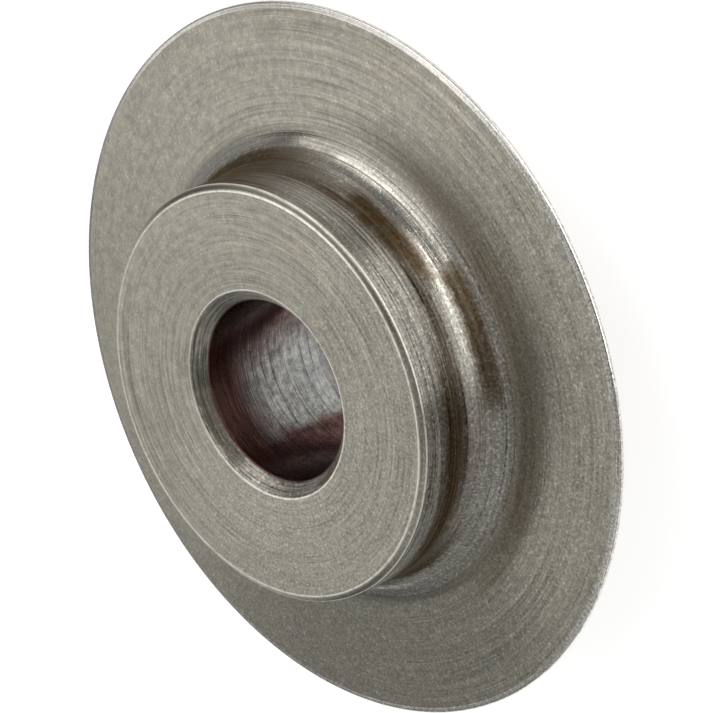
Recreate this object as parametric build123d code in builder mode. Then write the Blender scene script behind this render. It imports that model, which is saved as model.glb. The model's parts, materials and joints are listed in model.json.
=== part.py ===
from build123d import *
from math import cos, radians, sin, tan
import os

# Cutter wheel of a pipe cutter: one hardened piece, turned all over
# Millimetres, +Z along the bore axis, origin at the centre of the cutting plane

# Driving sizes of the hub
hub_diameter = 18.5
hub_width = 10.0
hub_edge_break_across = 0.26
hub_edge_break_down = 0.17
root_fillet = 1.8

# Driving sizes of the bore
bore_diameter = 8.0
bore_mouth_chamfer = 0.6

# Driving sizes of the blade
cutting_diameter = 31.75
blade_taper = 4.5
edge_band_width = 0.15
edge_band_taper = 13.0
nose_radius = 0.15

hub_radius = hub_diameter / 2
bore_radius = bore_diameter / 2
cutting_radius = cutting_diameter / 2

# The cutting nose is round, and its centre lies on the cutting plane
nose_centre = cutting_radius - nose_radius
nose_sweep = 90 - edge_band_taper

# A narrow band leaves the nose along its tangent
band_outer_radius = nose_centre + nose_radius * sin(radians(edge_band_taper))
band_outer_height = nose_radius * cos(radians(edge_band_taper))
band_inner_radius = band_outer_radius - edge_band_width
band_inner_height = band_outer_height + edge_band_width * tan(radians(edge_band_taper))

# The long blade face would meet the axis here, inside the hub
blade_core_height = band_inner_height + band_inner_radius * tan(radians(blade_taper))

with BuildPart() as cutter_wheel:
    # Half of the wheel's section: radius to the right, height above the cutting plane upwards
    with BuildSketch(Plane.XZ) as section:
        # Blade, from the nose along its face to the axis
        with BuildLine():
            CenterArc((nose_centre, 0), nose_radius, 0, nose_sweep)
            Polyline(
                (band_outer_radius, band_outer_height),
                (band_inner_radius, band_inner_height),
                (0, blade_core_height),
                (0, 0),
                (cutting_radius, 0),
            )
        make_face()

        # Hub, standing up from the blade, with the bore through its middle
        Rectangle(hub_radius, hub_width / 2, align=Align.MIN)
        Rectangle(bore_radius, hub_width, align=Align.MIN, mode=Mode.SUBTRACT)

        # Root fillet, at the corner where the hub's side meets the blade face
        hub_side_corners = section.vertices().filter_by_position(Axis.X, hub_radius, hub_radius)
        fillet(hub_side_corners.sort_by(Axis.Y)[0], root_fillet)

        # Bore mouth chamfer, and the shallow break of the hub's outer edge
        end_face_line = section.edges().sort_by(Axis.Y)[-1]
        bore_corner, hub_corner = end_face_line.vertices().sort_by(Axis.X)
        chamfer(hub_corner, hub_edge_break_across, hub_edge_break_down, reference=end_face_line)
        chamfer(section.vertices().sort_by_distance(bore_corner)[0], bore_mouth_chamfer)

        # The other half is the same
        mirror(about=Plane.XZ)
    revolve(axis=Axis.Z)

cutter_wheel.part.label = "cutter_wheel"

os.makedirs("parts", exist_ok=True)
export_step(cutter_wheel.part, "parts/cutter_wheel.step")
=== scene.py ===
import bmesh
import bpy
import json
from functools import reduce
from math import ceil, cos, hypot, pi, radians, sin, tan
from mathutils import Matrix, Quaternion, Vector


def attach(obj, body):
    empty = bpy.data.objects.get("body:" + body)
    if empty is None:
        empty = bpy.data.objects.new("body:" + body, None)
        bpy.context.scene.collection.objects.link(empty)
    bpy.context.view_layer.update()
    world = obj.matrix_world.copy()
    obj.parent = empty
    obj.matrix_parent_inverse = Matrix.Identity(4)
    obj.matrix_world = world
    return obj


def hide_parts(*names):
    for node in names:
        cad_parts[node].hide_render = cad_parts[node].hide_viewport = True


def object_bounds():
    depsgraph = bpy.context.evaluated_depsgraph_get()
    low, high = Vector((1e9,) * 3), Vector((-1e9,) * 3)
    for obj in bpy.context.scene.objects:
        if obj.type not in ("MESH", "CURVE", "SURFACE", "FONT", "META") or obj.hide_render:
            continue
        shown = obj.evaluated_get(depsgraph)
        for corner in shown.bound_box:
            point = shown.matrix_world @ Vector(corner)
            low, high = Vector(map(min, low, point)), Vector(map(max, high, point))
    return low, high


# Looks of a pipe cutter's cutter wheel: one turned piece of hardened steel, lying on a hub face
# Metres, +Z along the bore axis, origin at the centre of the cutting plane

MM = 0.001
NODE = "cutter_wheel"

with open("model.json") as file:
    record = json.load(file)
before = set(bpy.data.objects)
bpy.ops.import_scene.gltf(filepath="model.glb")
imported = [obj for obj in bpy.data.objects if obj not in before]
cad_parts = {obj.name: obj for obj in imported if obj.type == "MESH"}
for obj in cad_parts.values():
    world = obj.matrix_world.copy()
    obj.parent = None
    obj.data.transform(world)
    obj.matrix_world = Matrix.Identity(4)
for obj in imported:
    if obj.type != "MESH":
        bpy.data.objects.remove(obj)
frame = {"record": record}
cad_low, cad_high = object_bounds()

# Sizes of the wheel: hub width and bore come from the frame, the rest as the wheel is drawn
CUTTING_RADIUS = 15.875 * MM
HUB_HALF_WIDTH = cad_high.z
HUB_RADIUS = 9.25 * MM
HUB_BREAK_ACROSS = 0.26 * MM
HUB_BREAK_DOWN = 0.17 * MM
ROOT_FILLET = 1.8 * MM
BORE_RADIUS = frame["record"]["mounts"][0]["dims"]["r_mm"] * MM
MOUTH_CHAMFER = 0.6 * MM
MOUTH_RADIUS = BORE_RADIUS + MOUTH_CHAMFER
BLADE_TAPER = radians(4.5)
EDGE_BAND_WIDTH = 0.15 * MM
EDGE_BAND_TAPER = radians(13)
NOSE_RADIUS = 0.15 * MM
NOSE_CENTRE = CUTTING_RADIUS - NOSE_RADIUS
BAND_INNER_RADIUS = NOSE_CENTRE + NOSE_RADIUS * sin(EDGE_BAND_TAPER) - EDGE_BAND_WIDTH

# How far the turned edges are worn round, and how finely the round stretches are made
EDGE_WEAR = 0.05 * MM
ARC_STEP = radians(9)
FEWEST_ARC_STEPS = 2
TURNS = 384
WELD_DISTANCE = 0.001 * MM

# Finishes of the wheel's faces, in the order of its material slots
TUMBLED, TURNED, GROOVED, BORED, GROUND = range(5)

# The fillet's bright turned stretch, between the hub's grooved side and the tumbled web
FILLET_TOP = 2.35 * MM
FILLET_FOOT_RADIUS = 10.27 * MM


def rounded(corners):
    """A closed outline whose corners, each (point, radius), are rounded by arcs."""
    outline = []
    for i, (corner, radius) in enumerate(corners):
        before = (corners[i - 1][0] - corner).normalized()
        after = (corners[(i + 1) % len(corners)][0] - corner).normalized()
        half_angle = before.angle(after) / 2
        to_centre = (before + after).normalized()
        centre = corner + to_centre * (radius / sin(half_angle))
        start = corner + before * (radius / tan(half_angle)) - centre
        turn = (pi - 2 * half_angle) * (1 if before.cross(after) < 0 else -1)
        steps = max(FEWEST_ARC_STEPS, ceil(abs(turn) / ARC_STEP))
        for step in range(steps + 1):
            outline.append(centre + Matrix.Rotation(turn * step / steps, 2) @ start)
    return outline


def wheel_outline():
    """The wheel's section as (radius, height) points, round from the bore to the nose and back."""
    apex = NOSE_CENTRE + NOSE_RADIUS / sin(EDGE_BAND_TAPER)
    band_height = (apex - BAND_INNER_RADIUS) * tan(EDGE_BAND_TAPER)
    root_height = band_height + (BAND_INNER_RADIUS - HUB_RADIUS) * tan(BLADE_TAPER)
    upper = [
        (Vector((BORE_RADIUS, HUB_HALF_WIDTH - MOUTH_CHAMFER)), EDGE_WEAR),
        (Vector((MOUTH_RADIUS, HUB_HALF_WIDTH)), EDGE_WEAR),
        (Vector((HUB_RADIUS - HUB_BREAK_ACROSS, HUB_HALF_WIDTH)), EDGE_WEAR),
        (Vector((HUB_RADIUS, HUB_HALF_WIDTH - HUB_BREAK_DOWN)), EDGE_WEAR),
        (Vector((HUB_RADIUS, root_height)), ROOT_FILLET),
        (Vector((BAND_INNER_RADIUS, band_height)), EDGE_WEAR),
    ]
    lower = [(Vector((point.x, -point.y)), radius) for point, radius in reversed(upper)]
    return rounded(upper + [(Vector((apex, 0)), NOSE_RADIUS)] + lower)


def finish_at(radius, height):
    """Which finish a place on the section has: its number in FINISHES."""
    if radius > BAND_INNER_RADIUS:
        return GROUND
    if radius < MOUTH_RADIUS:
        return GROOVED if radius > BORE_RADIUS + EDGE_WEAR else BORED
    below_break = height < HUB_HALF_WIDTH - HUB_BREAK_DOWN
    if below_break and HUB_RADIUS - EDGE_WEAR < radius < FILLET_FOOT_RADIUS:
        return GROOVED if height > FILLET_TOP else TURNED
    return TUMBLED


def turned_wheel():
    """The wheel's section spun round the bore axis."""
    shape = bmesh.new()
    ring = [shape.verts.new((point.x, 0, point.y)) for point in wheel_outline()]
    edges = [shape.edges.new((a, b)) for a, b in zip(ring, ring[1:] + ring[:1])]
    bmesh.ops.spin(
        shape, geom=ring + edges, cent=(0, 0, 0), axis=(0, 0, 1), angle=2 * pi, steps=TURNS, use_merge=True
    )
    bmesh.ops.remove_doubles(shape, verts=shape.verts, dist=WELD_DISTANCE)
    bmesh.ops.recalc_face_normals(shape, faces=shape.faces)
    for face in shape.faces:
        face.smooth = True
        middle = face.calc_center_median()
        face.material_index = finish_at(hypot(middle.x, middle.y), abs(middle.z))
    mesh = bpy.data.meshes.new("turned_wheel")
    shape.to_mesh(mesh)
    shape.free()
    wheel = bpy.data.objects.new("turned_wheel", mesh)
    bpy.context.scene.collection.objects.link(wheel)
    weighted = wheel.modifiers.new("flat_faces_stay_flat", "WEIGHTED_NORMAL")
    weighted.mode = "FACE_AREA"
    weighted.weight = 100
    return wheel


class Nodes:
    """The nodes of a material or of the world, and short ways of adding to them."""

    def __init__(self, owner):
        owner.use_nodes = True
        self.tree = owner.node_tree

    def give(self, node, inputs):
        """Set a node's inputs, or link them to what other nodes give."""
        for name, value in inputs.items():
            if isinstance(value, bpy.types.NodeSocket):
                self.tree.links.new(value, node.inputs[name])
            else:
                node.inputs[name].default_value = value

    def add(self, kind, inputs=None, **settings):
        """The outputs of a new node with these inputs and settings."""
        made = self.tree.nodes.new(kind)
        for name, value in settings.items():
            setattr(made, name, value)
        self.give(made, inputs or {})
        return made.outputs

    def maths(self, operation, *values):
        """What one Math node gives."""
        return self.add("ShaderNodeMath", dict(enumerate(values)), operation=operation)[0]

    def times(self, *values):
        """Values multiplied together."""
        return reduce(lambda product, value: self.maths("MULTIPLY", product, value), values)

    def most(self, *values):
        """The greatest of some values."""
        return reduce(lambda greatest, value: self.maths("MAXIMUM", greatest, value), values)

    def plus(self, base, amount, value):
        """The base with so much of a value added."""
        return self.maths("MULTIPLY_ADD", value, amount, base)

    def swing(self, base, amount, pattern):
        """The base, swung up and down by a pattern whose middle is a half."""
        return self.plus(base, amount, self.maths("SUBTRACT", pattern, 0.5))

    def between(self, value, low, high, to_low=0.0, to_high=1.0):
        """The value's range low to high, spread smoothly over another range."""
        inputs = {"Value": value, "From Min": low, "From Max": high, "To Min": to_low, "To Max": to_high}
        return self.add("ShaderNodeMapRange", inputs, interpolation_type="SMOOTHSTEP")[0]

    def vector_maths(self, operation, *vectors):
        """What one Vector Math node gives: its outputs Vector and Value."""
        return self.add("ShaderNodeVectorMath", dict(enumerate(vectors)), operation=operation)

    def scaled(self, vector, amount):
        """A place or colour times a number."""
        return self.add("ShaderNodeVectorMath", {0: vector, "Scale": amount}, operation="SCALE")["Vector"]

    def noise(self, place, scale, detail=2.0, roughness=0.5, distortion=0.0):
        """A noise pattern of so many patches to the millimetre."""
        inputs = {
            "Vector": place,
            "Scale": scale,
            "Detail": detail,
            "Roughness": roughness,
            "Distortion": distortion,
        }
        return self.add("ShaderNodeTexNoise", inputs)["Fac"]

    def blend(self, first, second, share):
        """The first colour, with a share of the second in its place."""
        return self.add("ShaderNodeMix", {"Factor": share, 6: first, 7: second}, data_type="RGBA")[2]

    def seen(self, in_steel):
        """1 to the camera and through glass, and another brightness in reflections."""
        rays = self.add("ShaderNodeLightPath")
        in_reflections = self.times(rays["Is Glossy Ray"], in_steel)
        return self.most(rays["Is Camera Ray"], rays["Is Transmission Ray"], in_reflections)


# Distances from the bore's axis, in millimetres as all that follows for the steel: the middle and the
# end of a hub face, the start of the web, and where the painted shade on the bore's wall ends and is full
MIDDLE_OF_FACE = HUB_RADIUS / MM * 0.7
END_OF_FACE = HUB_RADIUS / MM - 0.15
START_OF_WEB = HUB_RADIUS / MM + 0.25
BORE_SHADE_REACH = (BORE_RADIUS / MM + 0.10, BORE_RADIUS / MM + 0.02)

# Distances along the section, which grow from down in the bore out over the hub's face, down its side
# and out over the web
BORE_FACE_EDGE = MOUTH_RADIUS / MM
HUB_FACE_EDGE = (HUB_RADIUS - HUB_BREAK_ACROSS) / MM
HUB_SIDE_EDGE = (HUB_RADIUS + HUB_BREAK_DOWN) / MM

# Worn edges with painted highlights, and the painted shade line between the hub's two: distance along the
# section and half width, and the share of that width over which such a line is full
WORN_HIGHLIT_EDGES = ((HUB_FACE_EDGE, 0.09), (BORE_FACE_EDGE, 0.09), (HUB_SIDE_EDGE + 0.02, 0.08))
SHADED_BREAK_LINE = ((HUB_FACE_EDGE + HUB_SIDE_EDGE) / 2, 0.15)
LINE_CORE = 0.3

# Patches to the millimetre of the clouds, the mottling, the rubbed places and the chips in worn edges
CLOUDS_PER_MM = 0.33
MOTTLES_PER_MM = 2.4
RUBS_PER_MM = 0.16
CHIPS_PER_MM = 2.6

# Lathe marks: how many of a kind there are for each fine one, and how often they change round the axis
FINE_MARKS = (1.0, 1.7)
FEED_GROOVES = (0.25, 0.8)
DEEP_SCRATCHES = (0.9, 1.1)

# Sides of the wheel where the steel looks different, and where shade and highlights are painted: the way
# the side faces, how squarely a place must face it for the change to start and to be full, and how far the
# clouds push these limits about. Lathe marks grow faint away from the first, and specks away from the
# second, down to this share
SHARPLY_MARKED_SIDE = ((0.0, -1.0, 0), 0.4, -0.5, 0.2)
SPECKLED_SIDE = ((-0.90, -0.44, 0), -0.6, 0.6, 0.5)
FEWEST_SPECKS = 0.3
MATT_SIDES = (((-0.77, -0.64, 0), 0.55, 0.85, 0.5), ((0.906, 0.423, 0), 0.72, 0.90, 0.2))
SHADED_LINE_SIDE = ((0.79, -0.61, 0), 0.48, 0.72, 0.2)
HIGHLIT_EDGE_SIDE = ((-0.42, -0.91, 0), -2.2, 0.2, 0.5)
BORE_SHADE_SIDES = (((-0.985, 0.17, 0), 0.50, 0.68, 0.3), ((1.0, 0, 0), 0.2, 0.8, 0.5))

# Painted shade on the bore's wall: the distances along the section where it starts and is full
BORE_SHADE_DEPTHS = (0.4, 2.4)

# Patches of brown film and painted shade, the first all the way round: the side a patch faces, how squarely
# a place must face it for the film to start and to be full, the distances along the section where the film
# begins and ends, how softly it does, and how strong it is
FILM_AND_SHADE_PATCHES = (
    ((0, 0, 0), -1.00, -0.50, 10.9, 12.15, 0.7, 0.90),
    ((0.94, 0.34, 0), 0.45, 0.90, 9.0, 14.1, 0.8, 1.00),
    ((-0.87, -0.50, 0), 0.45, 0.85, 10.2, 12.15, 0.7, 1.00),
    ((-0.94, 0.34, 0), 0.55, 0.95, 11.0, 13.3, 0.6, 1.00),
    ((-0.14, -0.99, 0), 0.93, 0.985, 12.5, 14.55, 0.8, 0.95),
    ((0.48, -0.88, 0), 0.955, 0.992, 10.8, 13.1, 0.8, 1.00),
    ((-0.38, -0.92, 0), 0.30, 0.90, 14.3, 16.6, 0.8, 0.85),
    ((-0.09, 1.00, 0), 0.85, 0.98, 3.3, 4.55, 0.3, 0.50),
    ((-0.77, -0.64, 0), 0.75, 0.95, 3.3, 4.70, 0.3, 0.50),
)
FILM_AND_SHADE_WANDER = 0.12
FILM_AND_SHADE_RAGGEDNESS = 0.7
THINNEST_FILM_AND_SHADE = 0.85

# Colours of what lies on the steel, of painted shade and of painted highlights, and how far three of them
# cover it
SPECK_BRIGHT = (0.62, 0.59, 0.51, 1)
MATT_GREY = (0.345, 0.330, 0.296, 1)
# Dark brown of the painted shade in the bore
BORE_SHADE_BROWN = (0.09, 0.03, 0.025, 1)
BORE_SHADE_SHARE = 0.92
# Painted shade in the break of the hub's edge
PAINTED_LINE_SHADE = (0.09, 0.083, 0.070, 1)
PAINTED_LINE_SHADE_SHARE = 0.75
# Painted highlight on worn edges
WORN_EDGE_HIGHLIGHT = (0.90, 0.87, 0.78, 1)
WORN_EDGE_HIGHLIGHT_SHARE = 0.85

# How much rougher the steel is where it is matt and where film and painted shade lie, and how far mottling
# changes that
MATT_ROUGHER = 0.25
FILM_AND_SHADE_ROUGHER = 0.32
MOTTLED_GLOSS = 0.05

SPECK_HEIGHT = 0.006
QUARTER_TURN = 0.25


class Steel(Nodes):
    """Hardened steel: lathe marks round the axis, tumbled specks, soft blotches, film with painted shade,
    and worn edges with painted highlights.
    """

    def __init__(self, name, finish):
        self.material = bpy.data.materials.new(name)
        super().__init__(self.material)
        self.finish = finish
        self.find_place()
        self.draw_patterns()

    def find_place(self):
        """A place in millimetres: its radius, direction round the axis and distance along the section."""
        self.place = self.scaled(self.add("ShaderNodeTexCoord")["Object"], 1 / MM)
        level = self.vector_maths("MULTIPLY", self.place, (1, 1, 0))["Vector"]
        self.radius = self.vector_maths("LENGTH", level)["Value"]
        self.heading = self.vector_maths("NORMALIZE", level)["Vector"]
        height = self.maths("ABSOLUTE", self.add("ShaderNodeSeparateXYZ", {0: self.place})["Z"])
        depth = self.maths("SUBTRACT", HUB_HALF_WIDTH / MM, height)
        outward = self.plus(-1.0, 2.0, self.maths("GREATER_THAN", self.radius, MIDDLE_OF_FACE))
        self.along = self.plus(self.radius, outward, depth)

    def draw_patterns(self):
        """Clouds, mottling, specks and lathe marks, and where specks and marks stand out."""
        finish = self.finish
        self.cloud = self.noise(self.place, CLOUDS_PER_MM, distortion=0.5)
        self.mottle = self.noise(self.place, MOTTLES_PER_MM, detail=4.0, roughness=0.7, distortion=0.3)
        self.ragged = self.swing(self.along, FILM_AND_SHADE_RAGGEDNESS, self.mottle)
        self.specks = self.noise(self.place, finish["specks_per_mm"], roughness=0.7)
        self.speckled = self.plus(FEWEST_SPECKS, 1.0 - FEWEST_SPECKS, self.facing(*SPECKLED_SIDE))
        self.marks = self.arcs(*FINE_MARKS, detail=2.0, roughness=0.75)
        self.feed = self.arcs(*FEED_GROOVES)
        self.deep = self.between(self.arcs(*DEEP_SCRATCHES), 0.40, 0.32)
        rubs = self.noise(self.place, RUBS_PER_MM)
        on_web = self.maths("GREATER_THAN", self.radius, START_OF_WEB)
        faint = self.times(on_web, self.facing(*SHARPLY_MARKED_SIDE))
        self.marked = self.times(
            self.between(rubs, 0.36, 0.62, finish["marks_where_rubbed"], 1.0),
            self.plus(1.0, -finish["faint_share"], faint),
        )

    def arcs(self, share, changes, detail=1.0, roughness=0.5):
        """Long arcs, a share of the finish's marks to the millimetre, with a few changes round the axis."""
        turned = self.add("ShaderNodeSeparateXYZ", {0: self.scaled(self.heading, changes)})
        across = self.times(self.along, self.finish["marks_per_mm"] * share)
        stretched = self.add("ShaderNodeCombineXYZ", {"X": turned["X"], "Y": turned["Y"], "Z": across})
        return self.noise(stretched[0], 1.0, detail, roughness)

    def facing(self, side, starts, full, wander):
        """How squarely a place faces a side of the wheel, from 0 at the start to 1 when full."""
        squarely = self.vector_maths("DOT_PRODUCT", self.heading, side)["Value"]
        return self.between(self.swing(squarely, wander, self.cloud), starts, full)

    def line(self, where, half_width):
        """A soft line round the axis, at a distance along the section."""
        off = self.maths("ABSOLUTE", self.maths("SUBTRACT", self.along, where))
        return self.between(off, half_width, half_width * LINE_CORE)

    def patch(self, side, starts, full, low, high, fade, strength):
        """One patch of brown film and painted shade, with soft ragged edges."""
        begins = self.between(self.ragged, low, low + fade)
        ends = self.between(self.ragged, high, high - fade)
        return self.times(begins, ends, self.facing(side, starts, full, FILM_AND_SHADE_WANDER), strength)

    def film_and_shade(self):
        """Brown film where tumbling doesn't reach, together with painted shade: on the hub's side, the
        web's root and the mouths.
        """
        streaks = self.between(self.feed, 0.35, 0.55, THINNEST_FILM_AND_SHADE, 1.0)
        blotches = self.between(self.mottle, 0.36, 0.50, THINNEST_FILM_AND_SHADE, 1.0)
        return self.times(self.most(*(self.patch(*values) for values in FILM_AND_SHADE_PATCHES)), streaks, blotches)

    def painted_bore_shade(self):
        """Dark brown painted shade on the bore's wall: near its mouth, and all the way down two of its
        sides.
        """
        by_depth = self.between(self.ragged, *BORE_SHADE_DEPTHS)
        by_side = self.most(*(self.facing(*side) for side in BORE_SHADE_SIDES))
        return self.times(self.most(by_depth, by_side), self.between(self.radius, *BORE_SHADE_REACH))

    def matt(self):
        """Where the fillet's polish is matt."""
        by_side = self.most(*(self.facing(*side) for side in MATT_SIDES))
        return self.times(by_side, self.finish["matt_share"])

    def painted_side_shade(self):
        """Painted shade on one side of the wheel, apart from the hub's end faces."""
        off_face = self.maths("GREATER_THAN", self.radius, END_OF_FACE)
        return self.times(self.facing(*self.finish["side_shade_facing"]), off_face)

    def painted_shade_line(self):
        """Painted shade: the dark line in the break of the hub's edge."""
        return self.times(self.line(*SHADED_BREAK_LINE), self.facing(*SHADED_LINE_SIDE))

    def worn_edge_highlights(self):
        """Worn edges of the hub and the bore's mouth with painted highlights, chipped here and there."""
        chips = self.noise(self.place, CHIPS_PER_MM, detail=3.0, roughness=0.7)
        chipped = self.between(chips, 0.34, 0.52, 0.5, 1.0)
        edges = self.most(*(self.line(*edge) for edge in WORN_HIGHLIT_EDGES))
        return self.times(edges, chipped, self.facing(*HIGHLIT_EDGE_SIDE))

    def shade(self):
        """Brightness: specks, mottling and marks about a middle value."""
        shade = self.swing(1.0, self.times(self.speckled, self.finish["speck_contrast"]), self.specks)
        shade = self.swing(shade, self.finish["mottle_contrast"], self.mottle)
        return self.swing(shade, self.times(self.marked, self.finish["mark_contrast"]), self.marks)

    def colour(self, matt, film_and_shade):
        """The steel's own colours, then what lies on it and the painted shade, and its worn edges with
        painted highlights last.
        """
        finish = self.finish
        warm = self.between(self.mottle, 0.35, 0.65)
        cloudy = self.between(self.cloud, 0.3, 0.7, 0.0, 0.6)
        shiny = self.between(self.specks, 0.58, 0.72, 0.0, finish["speck_shine"])
        in_scratches = self.times(self.deep, self.marked, finish["deep_share"])
        colour = self.blend(finish["cool_colour"], finish["warm_colour"], warm)
        colour = self.blend(colour, finish["cloud_colour"], cloudy)
        colour = self.blend(colour, MATT_GREY, matt)
        colour = self.blend(colour, SPECK_BRIGHT, shiny)
        # Painted shade on one side of the wheel
        colour = self.scaled(colour, self.plus(1.0, -finish["side_shade_share"], self.painted_side_shade()))
        # Brown film and painted shade
        colour = self.blend(colour, finish["film_and_shade_colour"], self.times(film_and_shade, finish["film_and_shade_share"]))
        # Painted shade on the bore's wall
        colour = self.blend(colour, BORE_SHADE_BROWN, self.times(self.painted_bore_shade(), BORE_SHADE_SHARE))
        colour = self.blend(colour, finish["film_and_shade_colour"], in_scratches)
        colour = self.scaled(colour, self.shade())
        # Painted shade in the break of the hub's edge
        colour = self.blend(colour, PAINTED_LINE_SHADE, self.times(self.painted_shade_line(), PAINTED_LINE_SHADE_SHARE))
        # Painted highlights on the worn edges
        return self.blend(colour, WORN_EDGE_HIGHLIGHT, self.times(self.worn_edge_highlights(), WORN_EDGE_HIGHLIGHT_SHARE))

    def roughness(self, matt, film_and_shade):
        """Roughness: a little mottled, and more where the steel is matt and where film and painted shade
        lie.
        """
        middle = self.finish["roughness"]
        roughness = self.between(self.mottle, 0.3, 0.7, middle + MOTTLED_GLOSS, middle - MOTTLED_GLOSS)
        return self.plus(self.plus(roughness, MATT_ROUGHER, matt), FILM_AND_SHADE_ROUGHER, film_and_shade)

    def relief(self):
        """Relief of the fine marks, the feed grooves, the deep scratches and the specks, as a bump."""
        height = self.times(self.marks, self.marked, self.finish["mark_depth"])
        height = self.plus(height, self.finish["feed_depth"], self.feed)
        height = self.plus(height, -self.finish["deep_depth"], self.deep)
        height = self.plus(height, SPECK_HEIGHT, self.times(self.specks, self.speckled))
        return self.add("ShaderNodeBump", {"Height": height, "Distance": MM, "Strength": 1.0})["Normal"]


def tool_steel(name, finish):
    """The wheel's steel in one finish, whose highlights stretch across the lathe marks."""
    steel = Steel(name, finish)
    matt = steel.matt()
    film_and_shade = steel.film_and_shade()
    inputs = {
        "Base Color": steel.colour(matt, film_and_shade),
        "Metallic": 1,
        "Roughness": steel.roughness(matt, film_and_shade),
        "Normal": steel.relief(),
        "Anisotropic": finish["anisotropy"],
        "Anisotropic Rotation": QUARTER_TURN,
        "Tangent": steel.add("ShaderNodeTangent", direction_type="RADIAL", axis="Z")[0],
    }
    steel.give(steel.tree.nodes["Principled BSDF"], inputs)
    return steel.material


# Tumbled steel of the hub's end faces and the web
tumbled = {
    "cool_colour": (0.318, 0.310, 0.264, 1),
    "warm_colour": (0.342, 0.320, 0.266, 1),
    "cloud_colour": (0.318, 0.296, 0.244, 1),
    # Brown of the film and of the painted shade on tumbled steel
    "film_and_shade_colour": (0.170, 0.135, 0.085, 1),
    "matt_share": 0.0,
    # Painted shade on one side of the web
    "side_shade_facing": ((-0.93, 0.37, 0), 0.5, 0.98, 0.1),
    "side_shade_share": 0.36,
    "film_and_shade_share": 0.65,
    "deep_share": 0.15,
    "specks_per_mm": 8.0,
    "speck_contrast": 1.5,
    "speck_shine": 0.4,
    "mottle_contrast": 0.35,
    "marks_per_mm": 7.0,
    "mark_contrast": 1.5,
    "marks_where_rubbed": 0.4,
    "faint_share": 0.8,
    "mark_depth": 0.006,
    "feed_depth": 0.003,
    "deep_depth": 0.003,
    "roughness": 0.36,
    "anisotropy": 0.35,
}
# Bright turned steel of the fillets, part of it matt
turned = {
    **tumbled,
    "cool_colour": (0.330, 0.323, 0.288, 1),
    "warm_colour": (0.350, 0.332, 0.282, 1),
    "cloud_colour": (0.315, 0.300, 0.264, 1),
    # Brown of the film and of the painted shade on turned steel
    "film_and_shade_colour": (0.082, 0.052, 0.022, 1),
    "matt_share": 1.0,
    "side_shade_share": 0.0,
    "film_and_shade_share": 1.0,
    "deep_share": 0.5,
    "speck_contrast": 2.2,
    "speck_shine": 0.6,
    "mark_contrast": 1.6,
    "marks_where_rubbed": 0.7,
    "faint_share": 0.0,
    "mark_depth": 0.008,
    "feed_depth": 0.006,
    "deep_depth": 0.004,
    "roughness": 0.20,
    "anisotropy": 0.7,
}
# Coarser grooves of the hub's side and of the bore's mouths
grooved = {
    **turned,
    "matt_share": 0.0,
    # Painted shade on the hub's side, all round but where it faces the camera
    "side_shade_facing": ((-0.05, 1.0, 0), -0.97, -0.90, 0.1),
    "side_shade_share": 0.26,
    "marks_per_mm": 9.0,
    "mark_contrast": 3.2,
    "marks_where_rubbed": 0.9,
    "mark_depth": 0.015,
    "feed_depth": 0.010,
    "deep_depth": 0.010,
    "roughness": 0.42,
    "anisotropy": 1.0,
}
# Turned steel of the bore, brighter than the rest: a blotchy polish where the pin rubs it, and painted
# reflection
bored = {
    **turned,
    "cool_colour": (0.42, 0.435, 0.42, 1),
    "warm_colour": (0.39, 0.39, 0.365, 1),
    "cloud_colour": (0.35, 0.345, 0.325, 1),
    "matt_share": 0.0,
    "speck_shine": 0.2,
    "mottle_contrast": 2.2,
    "roughness": 0.25,
}
# Ground steel of the cutting edge
ground = {
    **turned,
    "cool_colour": (0.60, 0.59, 0.55, 1),
    "warm_colour": (0.64, 0.61, 0.56, 1),
    "cloud_colour": (0.56, 0.54, 0.50, 1),
    "matt_share": 0.0,
    "film_and_shade_share": 0.0,
    "deep_share": 0.3,
    "speck_shine": 0.1,
    "mark_contrast": 0.8,
    "mark_depth": 0.004,
    "feed_depth": 0.004,
    "deep_depth": 0.002,
    "roughness": 0.22,
    "anisotropy": 0.6,
}
FINISHES = {
    "tumbled_steel": tumbled,
    "turned_steel": turned,
    "grooved_steel": grooved,
    "bored_steel": bored,
    "ground_steel": ground,
}


# Camera at the photograph's angle: it looks down on the lying wheel, and is rolled to the side
CAMERA_ELEVATION = radians(40.39)
CAMERA_ROLL = radians(-113.222)
CAMERA_DISTANCE = 382.75 * MM
CAMERA_LENS = 454.4
AIM_RIGHT = 0.314 * MM
AIM_UP = 0.117 * MM


def photo_camera():
    """The camera, which sees the wheel's centre a little to the left of and below the picture's."""
    back = Vector((0, -cos(CAMERA_ELEVATION), sin(CAMERA_ELEVATION)))
    turn = (-back).to_track_quat("-Z", "Y") @ Quaternion((0, 0, 1), CAMERA_ROLL)
    camera = bpy.data.objects.new("camera", bpy.data.cameras.new("camera"))
    camera.data.lens = CAMERA_LENS
    camera.rotation_mode = "QUATERNION"
    camera.rotation_quaternion = turn
    camera.location = turn @ Vector((AIM_RIGHT, AIM_UP, CAMERA_DISTANCE))
    bpy.context.scene.collection.objects.link(camera)
    bpy.context.scene.camera = camera


WHITE = (1, 1, 1, 1)
FLOOR_GREY = (0.6, 0.6, 0.6, 1)
FLOOR_HALF_WIDTH = 1.5
FLOOR_GLOW = 0.78


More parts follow.
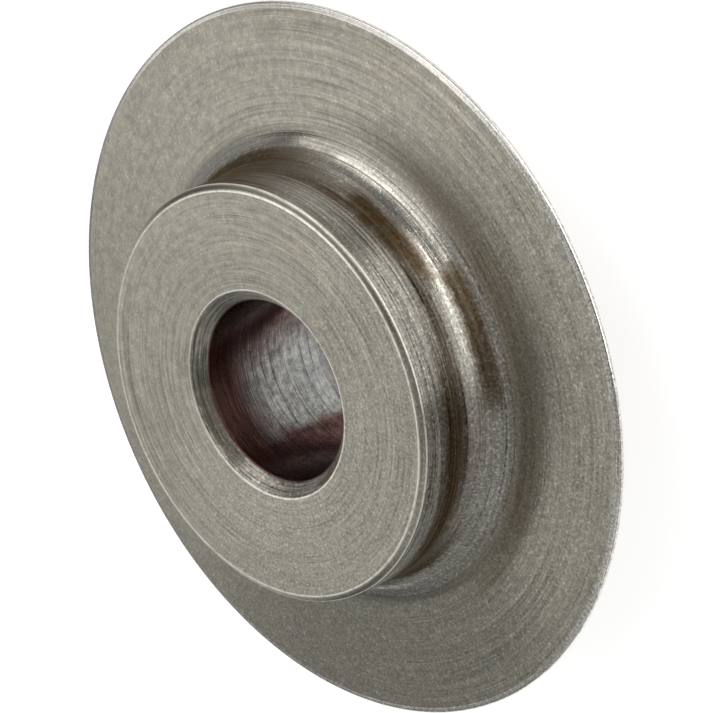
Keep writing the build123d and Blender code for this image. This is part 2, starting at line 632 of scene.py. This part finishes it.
def floor():
    """A plain pale floor under the wheel: white to the camera and in reflections, with a soft shadow."""
    shape = bmesh.new()
    bmesh.ops.create_grid(shape, x_segments=1, y_segments=1, size=FLOOR_HALF_WIDTH)
    bmesh.ops.translate(shape, verts=shape.verts, vec=(0, 0, cad_low.z))
    mesh = bpy.data.meshes.new("floor")
    shape.to_mesh(mesh)
    shape.free()
    piece = bpy.data.objects.new("floor", mesh)
    bpy.context.scene.collection.objects.link(piece)
    material = bpy.data.materials.new("pale_floor")
    nodes = Nodes(material)
    inputs = {
        "Base Color": FLOOR_GREY,
        "Roughness": 0.9,
        "Specular IOR Level": 0.0,
        "Emission Color": WHITE,
        "Emission Strength": nodes.times(nodes.seen(in_steel=1.0), FLOOR_GLOW),
    }
    nodes.give(nodes.tree.nodes["Principled BSDF"], inputs)
    piece.data.materials.append(material)


# Softboxes: heading and elevation in degrees, width and height in metres, brightness
SOFTBOXES = {
    "key_light": (100, 55, 0.40, 0.30, 0.98),
    "key_strip_back": (108, 28, 0.22, 0.16, 1.3),
    "key_strip_side": (85, 32, 0.22, 0.16, 2.45),
    "key_strip_middle": (62, 41, 0.22, 0.16, 2.1),
    "key_strip_front": (36, 48, 0.22, 0.16, 1.6),
    "top_light": (0, 88, 0.30, 0.30, 0.39),
    "back_light": (160, 45, 0.30, 0.35, 0.62),
    "back_fill": (178, 45, 0.35, 0.35, 0.47),
    "side_fill": (-110, 40, 0.35, 0.35, 0.35),
    "side_low": (-75, 35, 0.40, 0.35, 0.32),
    "front_strip": (5, 6, 0.72, 0.12, 6.4),
}
LIGHT_DISTANCE = 0.5


def soft_light(name, heading, elevation, width, height, brightness):
    """A softbox aimed at the wheel; its heading is measured from the camera's side, towards +X."""
    out = Vector((sin(heading) * cos(elevation), -cos(heading) * cos(elevation), sin(elevation)))
    lamp = bpy.data.lights.new(name, "AREA")
    lamp.shape = "RECTANGLE"
    lamp.size = width
    lamp.size_y = height
    lamp.energy = brightness * pi * width * height
    box = bpy.data.objects.new(name, lamp)
    box.location = out * LIGHT_DISTANCE
    box.rotation_mode = "QUATERNION"
    box.rotation_quaternion = out.to_track_quat("Z", "Y")
    bpy.context.scene.collection.objects.link(box)


ROOM_LIGHT = 0.22
ROOM_IN_STEEL = 0.25


def room():
    """A dim room round the wheel, which is a white background to the camera."""
    world = bpy.data.worlds.new("studio")
    bpy.context.scene.world = world
    nodes = Nodes(world)
    strength = nodes.most(nodes.seen(ROOM_IN_STEEL), ROOM_LIGHT)
    nodes.give(nodes.tree.nodes["Background"], {"Color": WHITE, "Strength": strength})


wheel = turned_wheel()
for name, finish in FINISHES.items():
    wheel.data.materials.append(tool_steel(name, finish))
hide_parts(NODE)
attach(wheel, "root")

photo_camera()
floor()
for name, (heading, elevation, width, height, brightness) in SOFTBOXES.items():
    soft_light(name, radians(heading), radians(elevation), width, height, brightness)
room()

bpy.context.scene.view_settings.view_transform = "Standard"
